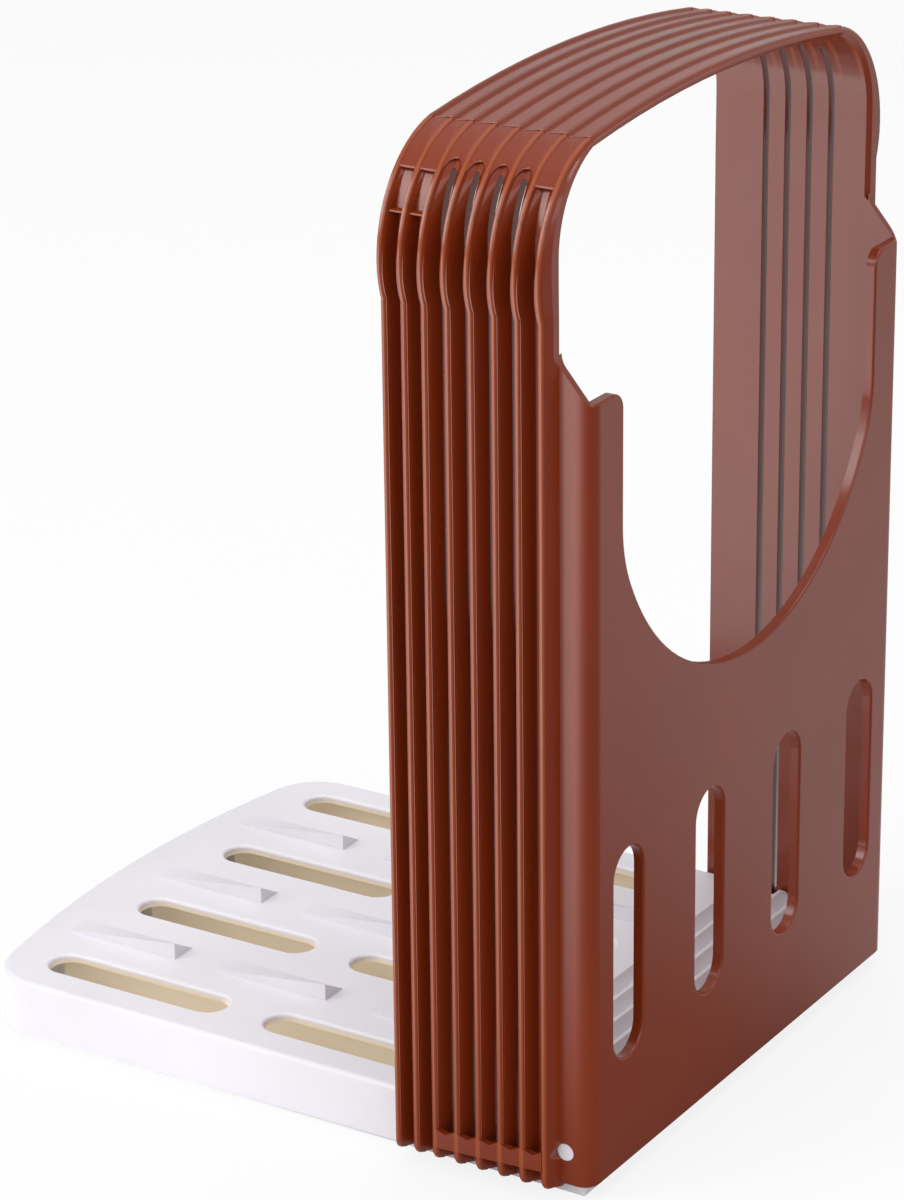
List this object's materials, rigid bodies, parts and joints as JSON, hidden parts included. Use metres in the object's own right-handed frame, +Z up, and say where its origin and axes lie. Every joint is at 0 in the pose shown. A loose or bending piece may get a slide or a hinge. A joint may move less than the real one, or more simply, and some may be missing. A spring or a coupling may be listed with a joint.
{
  "type": "bread slicer guide",
  "caption": "Folding bread slicing guide: a ribbed arch with vertical knife slots and a cut-out stop plate, hinged on a slotted board with barbs that hold the loaf.",
  "frame": {"origin": "on the table, under the middle of the whole guide with the board laid flat", "axes": "+X from the board's free end to the stop plate, +Y across the loaf, +Z up"},
  "size_m": [0.172, 0.1512, 0.2355],
  "materials": {
    "hood_plastic": "glossy brown moulded plastic",
    "board_plastic": "satin white moulded plastic"
  },
  "bodies": {
    "hood": {"slicing_hood": "hood_plastic"},
    "board": {"folding_board": "board_plastic"}
  },
  "joints": [
    {"name": "board_fold", "type": "hinge", "parent": "hood", "child": "board", "pos_m": [0.0795, 0, 0.0114], "axis": [0, 1, 0], "range_deg": [0, 85]}
  ]
}
